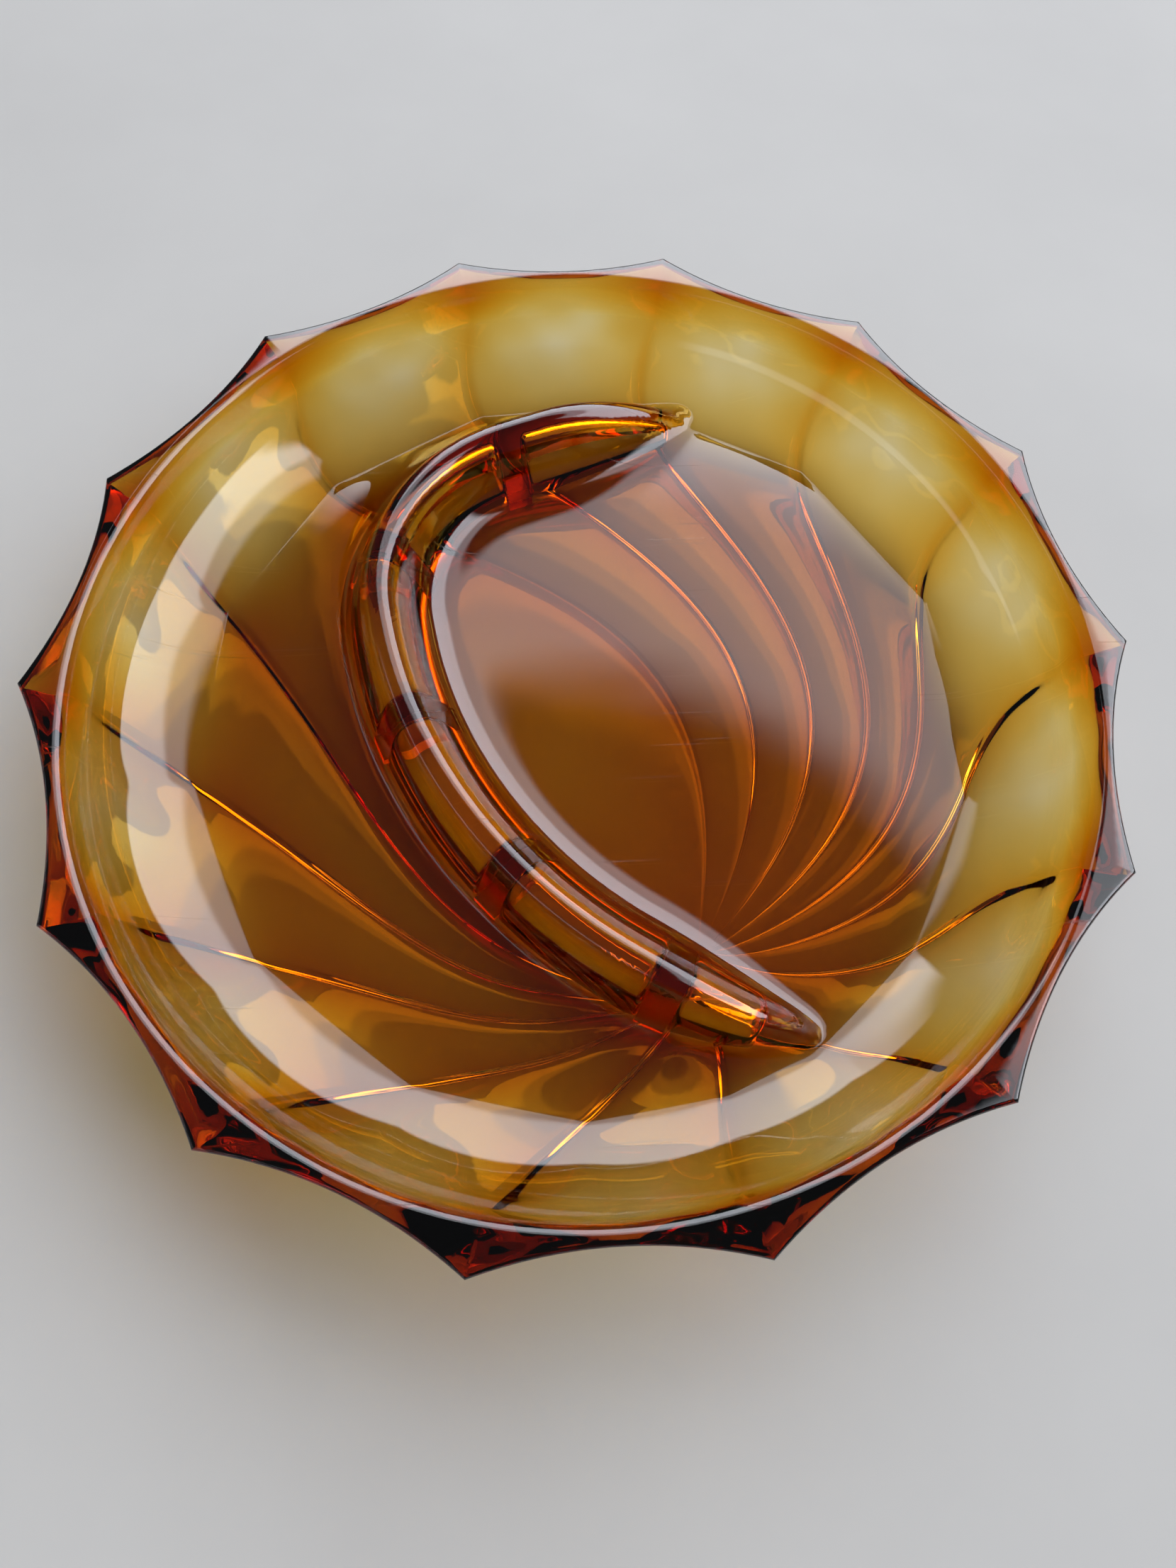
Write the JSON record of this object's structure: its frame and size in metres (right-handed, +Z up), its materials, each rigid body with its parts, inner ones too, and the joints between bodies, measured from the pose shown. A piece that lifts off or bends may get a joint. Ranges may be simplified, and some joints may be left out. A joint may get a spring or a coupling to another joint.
{
  "type": "divided candy dish",
  "caption": "Round shallow divided candy dish in clear amber pressed glass, with a scalloped pointed rim, a swirled fluted underside and a curved hollow divider ridge.",
  "frame": {"origin": "centre of the dish on the surface it stands on", "axes": "+Z up; +X from the centre to one of the rim's points; the divider lies towards -X, and its swirl lines meet towards -Y"},
  "size_m": [0.254, 0.2476, 0.034],
  "materials": {
    "amber_glass": "clear fire-polished amber glass"
  },
  "bodies": {
    "root": {"dish": "amber_glass"}
  },
  "joints": []
}
